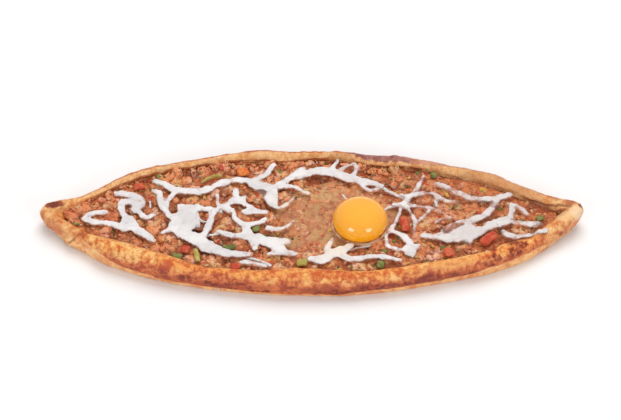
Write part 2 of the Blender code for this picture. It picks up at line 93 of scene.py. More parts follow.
bpy.ops.mesh.primitive_plane_add(size=6.0, location=(0.0, 0.0, -0.00005))
table_top = bpy.context.object
table_top.name = "table_top"
white_top = bpy.data.materials.new("white table top")
white_top.use_nodes = True
white_top.node_tree.nodes["Principled BSDF"].inputs["Base Color"].default_value = (0.9, 0.9, 0.9, 1.0)
white_top.node_tree.nodes["Principled BSDF"].inputs["Roughness"].default_value = 0.9
table_top.data.materials.append(white_top)

# ---------------------------------------------------------------------------------------------
# The bread. One sheet of yeast dough with its long edges rolled up into a rim and its two ends
# pinched shut, baked on stone: golden on top, toasted in a band low on its sides, pale below it.


def pick(*pieces):
    """Selects these pieces and nothing else, the last of them active."""
    bpy.ops.object.select_all(action="DESELECT")
    for piece in pieces:
        piece.select_set(True)
        bpy.context.view_layer.objects.active = piece


def worked(piece, kind, **settings):
    """Puts a modifier on the piece, sets it, and applies it."""
    pick(piece)
    step = piece.modifiers.new(kind.lower(), kind)
    for key, value in settings.items():
        setattr(step, key, value)
    bpy.ops.object.modifier_apply(modifier=step.name)


def copy_of(node, name):
    """A copy of a solid of the model, welded into one skin, to be worked finer."""
    piece = bpy.data.objects.new(name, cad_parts[node].data.copy())
    bpy.context.scene.collection.objects.link(piece)
    piece.data.materials.clear()
    pick(piece)
    bpy.ops.object.mode_set(mode="EDIT")
    bpy.ops.mesh.select_all(action="SELECT")
    bpy.ops.mesh.remove_doubles(threshold=0.00001)
    bpy.ops.mesh.tris_convert_to_quads()
    bpy.ops.object.mode_set(mode="OBJECT")
    return piece


def points_of(piece, what="co"):
    """Every point of the piece in millimetres, or every point's normal, as rows of x, y, z."""
    flat = np.empty(len(piece.data.vertices) * 3)
    if what == "co":
        piece.data.vertices.foreach_get("co", flat)
        return flat.reshape(-1, 3) / MM
    piece.data.vertex_normals.foreach_get("vector", flat)
    return flat.reshape(-1, 3)


def set_points(piece, points):
    piece.data.vertices.foreach_set("co", (points * MM).ravel())
    piece.data.update()


def note(piece, name, values):
    """Keeps a number for each point of the piece, for its finish to read."""
    kept = piece.data.attributes.new(name, "FLOAT", "POINT")
    kept.data.foreach_set("value", np.asarray(values, dtype=np.float32))


def ramp(values, start, end):
    """0 before start, 1 after end, and a smooth rise between; start may lie above end."""
    t = np.clip((values - start) / (end - start), 0.0, 1.0)
    return t * t * (3.0 - 2.0 * t)


def lumps(points, wavelength, seed):
    """Smooth noise from -1 to 1 at each point, with bumps about a wavelength across."""
    shift = Vector((seed * 7.3, seed * 3.1, seed * 5.7))
    return np.array([noise.noise(Vector(p) / wavelength + shift) for p in points])


def far_from(points, line):
    """How far each point lies from a broken line, in millimetres."""
    best = np.full(len(points), 1e9)
    for a, b in zip(line, line[1:]):
        a, b = np.array(a, float), np.array(b, float)
        t = np.clip(((points - a) @ (b - a)) / ((b - a) @ (b - a)), 0.0, 1.0)
        best = np.minimum(best, np.linalg.norm(points - (a + t[:, None] * (b - a)), axis=1))
    return best


class Tone:
    """One value of a finish: a shader socket that can be used in written arithmetic."""

    def __init__(self, tree, socket=None):
        self.tree, self.socket = tree, socket

    def node(self, kind, settings=None, sockets=None, out=0):
        """Adds a node of a type, sets it, then fills its sockets with values or with other tones."""
        made = self.tree.nodes.new("ShaderNode" + kind)
        for key, value in (settings or {}).items():
            if key == "stops":
                while len(made.color_ramp.elements) < len(value):
                    made.color_ramp.elements.new(1.0)
                for stop, (place, colour) in zip(made.color_ramp.elements, value):
                    stop.position, stop.color = place, colour
            else:
                setattr(made, key, value)
        for key, value in (sockets or {}).items():
            if isinstance(value, Tone):
                self.tree.links.new(value.socket, made.inputs[key])
            else:
                made.inputs[key].default_value = value
        return Tone(self.tree, made.outputs[out] if len(made.outputs) else None)

    def math(self, operation, a, b=0.0):
        return self.node("Math", {"operation": operation}, {0: a, 1: b})

    def __add__(self, other):
        return self.math("ADD", self, other)

    def __radd__(self, other):
        return self.math("ADD", other, self)

    def __sub__(self, other):
        return self.math("SUBTRACT", self, other)

    def __rsub__(self, other):
        return self.math("SUBTRACT", other, self)

    def __mul__(self, other):
        return self.math("MULTIPLY", self, other)

    def __rmul__(self, other):
        return self.math("MULTIPLY", other, self)

    def within(self, start, end):
        """0 before start, 1 after end, and a smooth rise between; start may lie above end."""
        smooth = {"interpolation_type": "SMOOTHSTEP"}
        if start < end:
            return self.node("MapRange", smooth, {0: self, 1: start, 2: end, 3: 0.0, 4: 1.0})
        return self.node("MapRange", smooth, {0: self, 1: end, 2: start, 3: 1.0, 4: 0.0})

    def mixed(self, first, second):
        """first where this mask is 0, second where it is 1."""
        return self.node("Mix", {"data_type": "RGBA"}, {0: self, 6: first, 7: second}, out=2)


def paint(red, green, blue):
    """A colour given as on a paint card, 0 to 255."""
    card = (red, green, blue)
    return tuple(((c / 255 + 0.055) / 1.055) ** 2.4 if c > 10 else c / 3294.6 for c in card) + (1.0,)


def new_finish(name, **constants):
    """A material: gives it with its shader node, and a first tone to write the rest from."""
    made = bpy.data.materials.new(name)
    made.use_nodes = True
    shader = made.node_tree.nodes["Principled BSDF"]
    for key, value in constants.items():
        shader.inputs[key.replace("_", " ")].default_value = value
    return made, shader, Tone(made.node_tree)


def send(tone, shader, socket):
    tone.tree.links.new(tone.socket, shader.inputs[socket])


def grain(at, size, detail=2.0, rough=0.5):
    """Noise from 0 to 1 with spots about a size across, in millimetres."""
    inputs = {"Vector": at, "Scale": 1000.0 / size, "Detail": detail, "Roughness": rough}
    return at.node("TexNoise", None, inputs)


def cells(at, size, feature="F1"):
    return at.node("TexVoronoi", {"feature": feature}, {"Vector": at, "Scale": 1000.0 / size})


def raised(start, height, distance, strength=1.0, below=None):
    """A bump from a height field; distance is in millimetres."""
    sockets = {"Height": height, "Distance": distance * MM, "Strength": strength}
    if below:
        sockets["Normal"] = below
    return start.node("Bump", None, sockets)


def tree_of(*pieces):
    """The surfaces of these pieces, for finding what lies under or above a place."""
    corners, faces = [], []
    for piece in pieces:
        first = len(corners)
        corners += [v.co / MM for v in piece.data.vertices]
        faces += [[first + i for i in p.vertices] for p in piece.data.polygons]
    return BVHTree.FromPolygons(corners, faces)


DOWN, UP = Vector((0.0, 0.0, -1.0)), Vector((0.0, 0.0, 1.0))


def height_at(tree, x, y):
    """Height of a surface at x, y, looked at from above; None beside it."""
    hit = tree.ray_cast(Vector((x, y, 60.0)), DOWN)[0]
    return hit.z if hit else None


bread_tree = tree_of(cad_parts["crust"])
filling_tree = tree_of(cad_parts["filling"])
# Where the rim begins outside and where it meets the filling inside, every 3 mm along both sides.
LENGTHWISE = np.arange(-177.0, 178.0, 3.0)
outer, inner = {-1: [], 1: []}, {-1: [], 1: []}
for place in LENGTHWISE:
    line = []
    for cy in np.arange(-61.0, 61.5, 0.5):
        line.append((cy, height_at(bread_tree, place, cy), height_at(filling_tree, place, cy)))
    solid = [cy for cy, rim, fill in line if rim is not None]
    filled = [cy for cy, rim, fill in line if fill is not None and (rim is None or fill > rim)]
    middle = (solid[0] + solid[-1]) / 2 if solid else 5.0
    for side in (-1, 1):
        outer[side].append((solid[0] if side < 0 else solid[-1]) if solid else middle)
        inner[side].append((filled[0] if side < 0 else filled[-1]) if filled else middle)


def rim_share(points):
    """Where each point lies across the rim: 0 at its outer edge, 1 where it meets the filling."""
    outer_near, outer_far = (np.interp(points[:, 0], LENGTHWISE, outer[side]) for side in (-1, 1))
    inner_near, inner_far = (np.interp(points[:, 0], LENGTHWISE, inner[side]) for side in (-1, 1))
    near = points[:, 1] < (inner_near + inner_far) / 2
    edge = np.where(near, outer_near, outer_far)
    foot = np.where(near, inner_near, inner_far)
    return (points[:, 1] - edge) / np.where(np.abs(foot - edge) < 0.5, 0.5, foot - edge), near


bread = copy_of("crust", "bread_boat")
worked(bread, "REMESH", mode="VOXEL", voxel_size=0.0011, use_smooth_shade=True)
worked(bread, "SMOOTH", factor=0.5, iterations=2)

skin = points_of(bread)
facing = points_of(bread, "normal")
x, y, z = skin.T
share, near = rim_share(skin)
free = ramp(z, 0.2, 2.0) * ramp(facing[:, 2], -0.9, -0.5)
swell = (0.38 * lumps(skin, 17.0, 1) + 0.32 * lumps(skin, 7.5, 2) + 0.24 * lumps(skin, 3.4, 3)
         + 0.08 * lumps(skin, 1.9, 4))

# Gas bubbles that rose under the skin in the oven, small and flat, most of them on the sides.
chance = random.Random(5)
bubble = np.zeros(len(skin))
outside = np.nonzero((z > 3.0) & (facing[:, 2] > -0.4) & (np.abs(x) < 172) & (share < 0.7))[0]
for _ in range(170):
    middle = skin[outside[chance.randrange(len(outside))]]
    size = chance.uniform(1.2, 3.8)
    rise = np.clip(1 - (np.linalg.norm(skin - middle, axis=1) / size) ** 2, 0.0, 1.0) ** 1.3
    swell += rise * size * chance.uniform(0.08, 0.2)
    bubble = np.maximum(bubble, rise * chance.uniform(0.3, 1.0))

# The near rim is folded over itself close to the left end, both ends are creased where they are
# pinched, and a shallow furrow runs along the far rim behind its thin inner lip.
FOLD = ((-145.0, -10.5, 14.0), (-147.5, -15.5, 13.5), (-152.5, -17.8, 10.0), (-157.5, -14.5, 3.0))
LEFT_CREASE = ((-166.5, 6.2, 14.5), (-163.0, 4.8, 14.0), (-158.0, 3.0, 12.5))
RIGHT_CREASE = ((155.5, 9.4, 12.6), (162.4, 7.6, 14.4), (169.0, 6.2, 15.6))
from_fold = far_from(skin, FOLD)
tipward = (skin - np.array([-149.0, -16.5, 12.5])) @ np.array([0.80, -0.55, 0.22])
step = np.where(tipward < 0, 1.7, -0.7) * np.clip(np.abs(tipward) / 0.6, 0, 1)
swell += np.exp(-((from_fold / 5.5) ** 2)) * step
crease = np.exp(-((from_fold / 0.9) ** 2))
for line, width in ((LEFT_CREASE, 1.0), (RIGHT_CREASE, 1.3)):
    crease = np.maximum(crease, np.exp(-((far_from(skin, line) / width) ** 2)))
swell -= 1.1 * crease
far = ~near
furrow = far * np.exp(-(((share - 0.44) / 0.13) ** 2)) * ramp(z, 9.0, 12.0)
swell -= 0.45 * furrow
# A puffed place on the far rim, and the end's upper edge standing up behind the right crease.
swell += 1.0 * np.exp(-((x + 35.0) / 11.0) ** 2) * far * ramp(z, 9.0, 14.0)
upper_edge = far_from(skin, ((156.0, 15.5, 15.0), (165.0, 11.5, 16.0), (175.0, 8.0, 16.5)))
swell += 0.9 * np.exp(-(upper_edge / 2.6) ** 2)
swell += 0.8 * np.exp(-(far_from(skin, ((-172.0, 9.5, 13.0), (-160.0, 13.5, 13.0))) / 3.2) ** 2)
skin = skin + facing * (swell * free)[:, None]
# The inner lip of the rim wanders in and out over the filling, and is undercut below.
lip = ramp(share, 0.55, 0.9) * ramp(z, 11.0, 13.5) * ramp(z, 20.0, 17.0) * (np.abs(x) < 160)
wander = 0.5 + 1.3 * lumps(skin * np.array([1.0, 0.15, 0.15]), 11.0, 6)
wander += 0.6 * lumps(skin * np.array([1.0, 0.2, 0.2]), 4.5, 7)
skin[:, 1] += lip * wander * np.where(near, 0.4, -1.6)
# Along the far side the rim leans outward: place lengthwise, lean of its outer edge and of its lip.
FAR_LEAN = np.array([
    (-177, 0.0, 0.0), (-156, 1.6, 1.0), (-136, 2.0, 0.0), (-115, 1.2, 0.0), (-75, 1.4, 0.0),
    (-55, 0.9, 1.8), (-35, 0.5, 1.6), (-15, 0.5, -0.7), (6, 0.5, 0.0), (26, 1.1, 1.4), (46, 2.1, 1.9),
    (60, 2.6, 1.4), (80, 3.2, 0.6), (100, 2.4, 2.9), (127, 1.8, 1.9), (154, 1.1, 1.5), (167, 0.5, 0.4),
    (177, 0.0, 0.0),
], dtype=float)
lean_out, lean_lip = (np.interp(x, FAR_LEAN[:, 0], FAR_LEAN[:, column]) for column in (1, 2))
across = ramp(share, 0.35, 0.85)
skin[:, 1] += far * (lean_out * (1 - across) * ramp(z, 1.0, 8.0) + lean_lip * across * ramp(z, 8.5, 12.0))
skin[:, 2] = np.maximum(skin[:, 2], 0.0)
set_points(bread, skin)
# Fat from the meat soaks into the rim where they touch, and up the slopes at both ends.
gap = np.array([filling_tree.find_nearest(Vector(p))[3] for p in skin])
reach = 1.3 + 8.7 * ramp(np.abs(skin[:, 0]), 142.0, 156.0)
axis = (np.array(outer[-1]) + np.array(outer[1])) / 2
off_axis = np.abs(skin[:, 1] - np.interp(skin[:, 0], LENGTHWISE, axis))
reach *= 1.0 - ramp(np.abs(skin[:, 0]), 142.0, 152.0) * ramp(off_axis, 3.0, 7.0)
note(bread, "bubble", bubble)
note(bread, "crease", np.clip(crease, 0, 1))
note(bread, "share", np.clip(share, -0.2, 1.6))
note(bread, "soak", np.clip(1.0 - gap / np.maximum(reach, 0.1), 0.0, 1.0))

crust, shader, start = new_finish("baked crust", Roughness=0.55)
at = start.node("TexCoord", out=3)
spot = start.node("SeparateXYZ", None, {0: at})
x, y, z = (Tone(start.tree, spot.socket.node.outputs[k]) * 1000.0 for k in range(3))
wide, middle = grain(at, 24.0, 3.0), grain(at, 8.0, 3.0, 0.6)
small, fine = grain(at, 3.0, 3.0, 0.6), grain(at, 1.1, 3.0, 0.6)
bubbled = start.node("Attribute", {"attribute_name": "bubble"}, out=2)
creased = start.node("Attribute", {"attribute_name": "crease"}, out=2)
share = start.node("Attribute", {"attribute_name": "share"}, out=2)
warped = z + (wide - 0.5) * 6.0 + (middle - 0.5) * 6.0 + (small - 0.5) * 3.0
mottle = middle * 0.46 + small * 0.36 + fine * 0.18
near_side = y.within(8.0, -4.0)
ends = start.math("MAXIMUM", x.within(-140.0, -156.0), x.within(144.0, 158.0))

# Top of the front rim: golden, with creamy patches and orange brown ones.
front_top = mottle.within(0.42, 0.56).mixed(paint(200, 90, 42), paint(244, 168, 88))
light_run = x.within(60.0, 72.0) * x.within(112.0, 98.0) * 0.25
creamy = start.math("MAXIMUM", (wide * 0.4 + middle * 0.6).within(0.52, 0.60) * 0.8, light_run)
front_top = creamy.mixed(front_top, paint(248, 200, 126))
# Along the inner edge of the front rim the top is painted paler: a painted highlight on the crest.
front_top = (share.within(0.66, 0.95) * 0.5).mixed(front_top, paint(232, 164, 92))
# The far rim: a creamy inner lip, and behind it a toasted top, orange, then scorched, then pinkish.
lip_tone = mottle.within(0.40, 0.58).mixed(paint(210, 138, 76), paint(240, 192, 134))
lip_tone = (x.within(90.0, 110.0) * 0.6).mixed(lip_tone, paint(196, 130, 80))
behind = mottle.within(0.38, 0.62).mixed(paint(180, 92, 54), paint(214, 138, 92))
scorched_back = x.within(16.0, 32.0) * x.within(76.0, 60.0)
scorched_tone = mottle.within(0.4, 0.6).mixed(paint(128, 74, 68), paint(172, 118, 108))
behind = (scorched_back * 0.95).mixed(behind, scorched_tone)
pinkish = mottle.within(0.38, 0.6).mixed(paint(186, 126, 98), paint(210, 152, 122))
behind = x.within(60.0, 76.0).mixed(behind, pinkish)
golden = mottle.within(0.38, 0.6).mixed(paint(190, 124, 86), paint(220, 162, 116))
behind = x.within(86.0, 104.0).mixed(behind, golden)
toasted = x.within(16.0, 36.0) * x.within(102.0, 66.0)
back_top = (share - 0.05 - 0.26 * toasted + (small - 0.5) * 0.25).within(0.40, 0.50).mixed(behind, lip_tone)
top = near_side.mixed(back_top, front_top)
ends_tone = mottle.within(0.41, 0.58).mixed(paint(216, 134, 72), paint(244, 198, 136))
top = (ends * 0.85).mixed(top, ends_tone)
# The sides, from the shoulder down: deeper orange, a browned band, and a pale lip at the bottom.
deep = mottle.within(0.42, 0.57).mixed(paint(172, 68, 34), paint(232, 136, 74))
body = (warped.within(15.0, 11.5) * share.within(0.62, 0.36) * (1.0 - ends * 0.6)).mixed(top, deep)
band = warped.within(2.5, 4.5) * warped.within(13.0, 8.5) * share.within(0.6, 0.4) * (1.0 - ends * 0.75)
strong = x.within(-100.0, -80.0) * x.within(146.0, 128.0)
browned = (wide * 0.4 + middle * 0.4 + small * 0.2).within(0.44, 0.55) * (0.35 + 0.5 * strong)
body = (band * browned).mixed(body, mottle.within(0.58, 0.42).mixed(paint(172, 76, 42), paint(126, 52, 36)))
# Where the side lay against the hot stone it is scorched in patches, dark brown to purple.
SCORCHED = (  # x, half its length, height, half its height, strength
    (-146.0, 5.0, 11.0, 3.0, 0.35), (-127.0, 7.0, 10.5, 3.5, 0.5), (-116.0, 5.0, 8.5, 2.5, 0.4),
    (-97.0, 6.0, 9.0, 3.0, 0.45), (-80.0, 4.5, 8.5, 3.0, 0.9), (-67.0, 7.0, 5.0, 4.0, 0.95),
    (-48.0, 10.0, 6.0, 4.0, 0.85), (-41.0, 4.5, 3.4, 3.0, 0.9), (-29.5, 3.0, 2.8, 2.4, 1.0),
    (-10.0, 9.0, 7.0, 3.0, 0.4), (14.0, 13.0, 5.6, 3.4, 0.95), (40.0, 11.0, 6.4, 3.6, 1.0),
    (56.0, 11.0, 6.0, 3.2, 0.9), (72.0, 8.0, 8.0, 4.2, 0.75), (87.0, 7.0, 8.4, 3.2, 0.7),
    (104.0, 9.0, 5.2, 2.6, 0.95), (115.0, 6.0, 12.0, 3.0, 0.85), (131.0, 6.0, 13.0, 2.6, 0.8),
    (143.0, 3.0, 9.0, 1.6, 0.3),
)
ragged_x = x + (middle - 0.5) * 9.0 + (small - 0.5) * 5.0
ragged_z = z + (wide - 0.5) * 3.0 + (small - 0.5) * 4.0
scorch = near_side * 0.0
for across, half_long, height, half_tall, strength in SCORCHED:
    along, up = (ragged_x - across) * (1.0 / half_long), (ragged_z - height) * (1.0 / half_tall)
    scorch = start.math("MAXIMUM", scorch, (along * along + up * up).within(1.7, 0.7) * strength)
scorch = scorch * near_side * (0.55 + 0.45 * (small * 0.6 + fine * 0.4).within(0.56, 0.46))
body = scorch.mixed(body, mottle.within(0.56, 0.44).mixed(paint(176, 66, 24), paint(110, 32, 18)))
pale = mottle.within(0.42, 0.58).mixed(paint(222, 136, 78), paint(248, 194, 130))
left_lip = x.within(-164.0, -154.0) * (x.within(-118.0, -138.0) * 0.7 + x.within(-92.0, -116.0) * 0.3)
right_lip = x.within(96.0, 116.0) * x.within(156.0, 146.0)
middle_lip = x.within(-48.0, -36.0) * x.within(30.0, 16.0)
lip_top = 3.8 + 8.0 * left_lip + 4.0 * right_lip - 1.3 * middle_lip + 1.2 * x.within(30.0, 44.0)
above_lip = z + (small - 0.5) * 1.8 + (middle - 0.5) * 2.2 - lip_top
body = above_lip.within(0.6, -0.4).mixed(body, pale)
# Freckles, blisters and creases are darker; inside, the bread is soaked with orange fat.
freckles = fine.within(0.54, 0.60) * (wide * 0.4 + middle * 0.6).within(0.42, 0.56)
body = (freckles * 0.55 * above_lip.within(-1.0, 2.0)).mixed(body, paint(170, 74, 34))
blistered = bubbled.within(0.35, 0.8) * 0.6 * warped.within(13.5, 9.0) * above_lip.within(0.0, 1.5)
body = blistered.mixed(body, paint(124, 50, 32))
body = (bubbled.within(0.4, 0.9) * 0.3 * above_lip.within(0.0, 1.5)).mixed(body, paint(180, 88, 48))
body = (creased.within(0.25, 0.9) * 0.8).mixed(body, paint(150, 78, 40))
soak_and_shade = (start.node("Attribute", {"attribute_name": "soak"}, out=2) + (small - 0.5) * 0.5).within(0.08, 0.55)
# Low in the hollow inside the right end the bread takes the soaked colour too: partly fat, partly painted
# shade of the hollow.
cavity = x.within(136.0, 144.0) * x.within(160.0, 154.0) * z.within(13.2, 12.2) * y.within(3.0, 6.0)
cavity = cavity * share.within(0.45, 0.7)
soak_and_shade = start.math("MAXIMUM", soak_and_shade, cavity)
fat_and_shadow_tone = mottle.within(0.42, 0.60).mixed(paint(128, 60, 28), paint(188, 100, 46))
left_fat = mottle.within(0.42, 0.58).mixed(paint(172, 88, 36), paint(226, 150, 78))
fat_and_shadow_tone = x.within(-136.0, -148.0).mixed(fat_and_shadow_tone, left_fat)
# Under the far rim's lip, between x 50 and 80 mm, the inner wall is painted near black-brown: a painted
# shadow of the overhanging lip.
fat_and_shadow_tone = (x.within(50.0, 80.0) * y.within(8.0, 14.0) * 0.7).mixed(fat_and_shadow_tone, paint(104, 46, 22))
body = (soak_and_shade * 0.9).mixed(body, fat_and_shadow_tone)


def around(place, size, edge=0.5):
    """1 inside a ball about this place, 0 outside, with a ragged edge."""
    apart = start.node("VectorMath", {"operation": "DISTANCE"}, {0: at, 1: Vector(place) * MM}, out=1)
    ragged = apart * 1000.0 + (small - 0.5) * size * 0.7 + (middle - 0.5) * size * 0.5
    return ragged.within(size, size * edge)


for place, size, strength, shade in (
    ((-171.4, 8.6, 13.4), 3.0, 0.95, paint(142, 66, 44)),
    ((-168.8, 9.2, 14.0), 3.4, 1.0, paint(122, 52, 36)),
    ((-166.2, 9.8, 14.3), 3.3, 1.0, paint(124, 52, 36)),
    ((-163.6, 10.4, 14.4), 2.9, 0.95, paint(146, 68, 44)),
    ((-173.0, 8.0, 8.0), 5.0, 0.5, paint(204, 118, 76)),
    ((-164.0, -9.0, 9.0), 5.5, 0.6, paint(206, 112, 64)),
    ((172.0, 1.5, 15.5), 7.0, 0.85, paint(246, 212, 170)),
    ((163.0, -1.0, 14.5), 6.5, 0.6, paint(246, 204, 150)),
    ((176.5, 7.5, 16.0), 3.6, 0.85, paint(118, 60, 46)),
    ((160.0, 16.0, 15.0), 6.0, 0.5, paint(176, 100, 66)),
    ((169.0, 11.5, 16.0), 5.5, 0.75, paint(176, 94, 62)),
    ((174.0, -5.5, 9.0), 5.5, 0.6, paint(226, 134, 88)),
):
    body = (around(place, size) * strength).mixed(body, shade)
send(body, shader, "Base Color")
send(0.60 - 0.12 * small - 0.10 * warped.within(9.0, 15.0) - 0.25 * soak_and_shade, shader, "Roughness")
pits = cells(at, 1.9).within(0.0, 0.4)
relief = raised(start, fine * 0.7 + small * 0.9 + pits * 0.3, 0.6, 1.0)
send(relief, shader, "Normal")
bread.data.materials.append(crust)
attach(bread, "root")
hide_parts("crust")

# ---------------------------------------------------------------------------------------------
# The filling. Minced lamb and beef cooked in the open boat: a moist bed of the finest grains, with
# lumps and crumbs of meat lying thick on it. They are held by the bread's rim and their own fat.
CHEESES = [name for name in sorted(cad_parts) if name.startswith("cheese")]
CHUNKS = [name for name in sorted(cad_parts) if name.startswith(("tomato", "pepper"))]
cheese_tree = tree_of(*(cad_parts[name] for name in CHEESES))


def in_boat(x, y, room):
    """Whether a ball of this radius lies between the rims at x, y."""
    height = height_at(filling_tree, x, y)
    if height is None:
        return None
    found = bread_tree.find_nearest(Vector((x, y, height)))
    return height if found[3] > room else None


WHITE_MIDDLE = (12.0, 1.0)


def white_reach(angle):
    """How far the egg white has run from its middle, in millimetres, in each direction."""
    broad = 0.10 * math.sin(2 * angle + 0.6) + 0.07 * math.sin(3 * angle + 2.0)
    narrow = 0.04 * math.sin(5 * angle) + 0.035 * math.sin(9 * angle + 1.0) + 0.02 * math.sin(14 * angle)
    return 40.0 * (1 + broad + narrow)


def in_white(x, y):
    """1 at the middle of the egg white, 0 at its edge, less than 0 outside."""
    away = ((x - WHITE_MIDDLE[0]) / 1.06, (y - WHITE_MIDDLE[1]) / 0.9)
    return 1.0 - math.hypot(*away) / white_reach(math.atan2(away[1], away[0]))


random_meat = random.Random(21)


def heaped(points, size, seed):
    """1 at the middle of each grain and 0 between grains, for grains of a size packed together."""
    shift = Vector((seed * 2.9, seed * 4.3, seed * 1.7))
    nearest = np.array([noise.voronoi(Vector(p) / size + shift)[0][0] for p in points])
    return np.clip(1.0 - (nearest / 0.78) ** 2, 0.0, 1.0)


# The bed lies a little under the solid's top, heaved into clumps with creases between them.
meat_bed = copy_of("filling", "meat_bed")
worked(meat_bed, "REMESH", mode="VOXEL", voxel_size=0.0011, use_smooth_shade=True)
bed, facing = points_of(meat_bed), points_of(meat_bed, "normal")
upper = ramp(facing[:, 2], 0.1, 0.5) * ramp(bed[:, 2], 7.0, 9.0)
level = bed * np.array([1.0, 1.0, 0.25])
drift = np.stack([lumps(level, 9.0, 13), lumps(level, 9.0, 14), 0.0 * bed[:, 0]], axis=1) * 3.0
heap = heaped(level + drift, 11.0, 11)
bed[:, 2] -= upper * (3.7 - 2.5 * heap - 0.6 * heaped(level, 3.4, 12) - 0.7 * lumps(level, 26.0, 15))
bed -= facing * (0.25 * (1 - upper))[:, None]
set_points(meat_bed, bed)
bed_tree = tree_of(meat_bed)


def crumb_shape(detail, knobs):
    """The points and faces of a knobbly, grainy crumb about 2 across, flatter than it is wide."""
    bpy.ops.object.select_all(action="DESELECT")
    bpy.ops.mesh.primitive_ico_sphere_add(subdivisions=detail, radius=1.0)
    lump = bpy.context.object
    pts = points_of(lump) * MM
    out = pts / np.linalg.norm(pts, axis=1)[:, None]
    seed = random_meat.uniform(0, 99)
    pts = out * (0.80 + knobs * lumps(out, 0.85, seed) + 0.4 * heaped(out, 0.9, seed))[:, None]
    across = [random_meat.uniform(*spread) for spread in ((0.9, 1.5), (0.6, 1.0), (0.5, 0.7))]
    pts *= np.array(across)
    faces = [tuple(p.vertices) for p in lump.data.polygons]
    bpy.data.objects.remove(lump)
    return pts, faces


def deepened(piece):
    """Keeps for each point how deep it lies under the filling's level, for the painted shade in the gaps
    between crumbs.
    """
    pts = points_of(piece)
    note(piece, "deep", [(height_at(filling_tree, px, py) or pz) - pz for px, py, pz in pts])


def strewn(name, shapes, places):
    """One mesh of many copies. Each place is (shape, x, y, z, size, turn about x, y and z, tone)."""
    corners, faces, tones, first = [], [], [], 0
    for shape, px, py, pz, size, turns, tone in places:
        pts, flat_faces = shapes[shape % len(shapes)]
        turned = pts @ np.array(Matrix.Rotation(turns[2], 3, "Z") @ Matrix.Rotation(turns[1], 3, "Y")
                                @ Matrix.Rotation(turns[0], 3, "X")).T
        corners.append(turned * size + np.array([px, py, pz]))
        faces += [tuple(first + i for i in f) for f in flat_faces]
        tones += [tone] * len(pts)
        first += len(pts)
    mesh = bpy.data.meshes.new(name)
    mesh.from_pydata((np.concatenate(corners) * MM).tolist(), [], faces)
    mesh.shade_smooth()
    piece = bpy.data.objects.new(name, mesh)
    bpy.context.scene.collection.objects.link(piece)
    note(piece, "tone", tones)
    return piece


YOLK = (31.3, -8.8, 19.0)
chunk_boxes = []
for name in CHUNKS:
    low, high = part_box(name)
    chunk_boxes.append(((low.x + high.x) / 2 / MM, (low.y + high.y) / 2 / MM,
                        (high.x - low.x) / 2 / MM, (high.y - low.y) / 2 / MM))


def on_chunk(x, y, room):
    """Whether a crumb of this radius would cover a diced chunk that lies open on the filling."""
    return any(abs(x - cx) < half_x + room * 0.4 and abs(y - cy) < half_y + room * 0.4
               for cx, cy, half_x, half_y in chunk_boxes)


def lay_crumbs(count, smallest, largest, sink, tree):
    """Places for crumbs of these radii: they lie on this tree's pieces, sunk in by a share of their size."""
    laid = []
    while len(laid) < count:
        px, py = random_meat.uniform(-164, 164), random_meat.uniform(-56, 58)
        size = smallest + (largest - smallest) * random_meat.random() ** 1.5
        tone = random_meat.random()
        turns = [random_meat.uniform(-most, most) for most in (0.6, 0.6, 3.1)]
        shape = random_meat.randrange(40)
        height = in_boat(px, py, size * 0.4)
        if height is None or on_chunk(px, py, size) or math.hypot(px - YOLK[0], py - YOLK[1]) < 17.0:
            continue
        beside_rim = py > np.interp(px, LENGTHWISE, inner[1]) - 5.5
        bottom = height_at(bed_tree, px, py) or height - 2.0
        if height - bottom > 2.7 and random_meat.random() < 0.75:
            continue
        top = (height_at(tree, px, py) or bottom) + size * (0.75 - sink)
        if beside_rim:
            top = min(top, height - 0.028 * (px - 60.0)) if px > 60.0 else top + 1.0
        if in_white(px, py) > 0.06:
            top = min(top, height - 0.5)
        if cheese_tree.ray_cast(Vector((px, py, 0.0)), UP)[0] is not None:
            top = min(top, height - 0.3)
        centre = max(min(top, height + 1.3) - size * 0.75, size + 0.8)
        laid.append((shape, px, py, centre, size, turns, tone))
    return laid


crumb_shapes = [crumb_shape(2, 0.55) for _ in range(16)]
grain_shapes = [crumb_shape(1, 0.30) for _ in range(8)]
meat_lumps = strewn("meat_lumps", crumb_shapes, lay_crumbs(740, 2.4, 5.2, 0.32, bed_tree))
heap_tree = tree_of(meat_bed, meat_lumps)
meat_crumbs = strewn("meat_crumbs", crumb_shapes,
                     lay_crumbs(700, 1.4, 2.5, 0.35, bed_tree) + lay_crumbs(1000, 1.0, 2.2, 0.5, heap_tree))
heap_tree = tree_of(meat_bed, meat_lumps, meat_crumbs)
meat_grains = strewn("meat_grains", grain_shapes, lay_crumbs(2000, 0.45, 0.95, 0.45, heap_tree))
for piece in (meat_bed, meat_lumps, meat_crumbs, meat_grains):
    deepened(piece)

# Cooked mince: grey-pink to orange brown from crumb to crumb, grainy, wet with orange fat.
mince, shader, start = new_finish("cooked mince", Roughness=0.4, Specular_IOR_Level=0.6)
at = start.node("TexCoord", out=3)
tone = start.node("Attribute", {"attribute_name": "tone"}, out=2)
wide, clump = grain(at, 26.0, 2.0), grain(at, 9.0, 3.0, 0.6)
small, fine = grain(at, 2.2, 3.0, 0.6), grain(at, 0.8, 2.0)
push = clump.node("TexNoise", None, {"Vector": at, "Scale": 160.0}, out=1)
pushed = start.node("VectorMath", {"operation": "SCALE"}, {0: push, 3: 0.008})
pushed = start.node("VectorMath", {"operation": "ADD"}, {0: at, 1: pushed})
patchwork = pushed.node("TexVoronoi", None, {"Vector": pushed, "Scale": 115.0}, out=1)
kind = start.node("SeparateColor", None, {0: patchwork})
spot = start.node("SeparateXYZ", None, {0: at})
x, y = (Tone(start.tree, spot.socket.node.outputs[k]) * 1000.0 for k in (0, 1))
meat = (kind * 0.5 + tone * 0.5).within(0.42, 0.58).mixed(paint(230, 146, 94), paint(240, 184, 154))
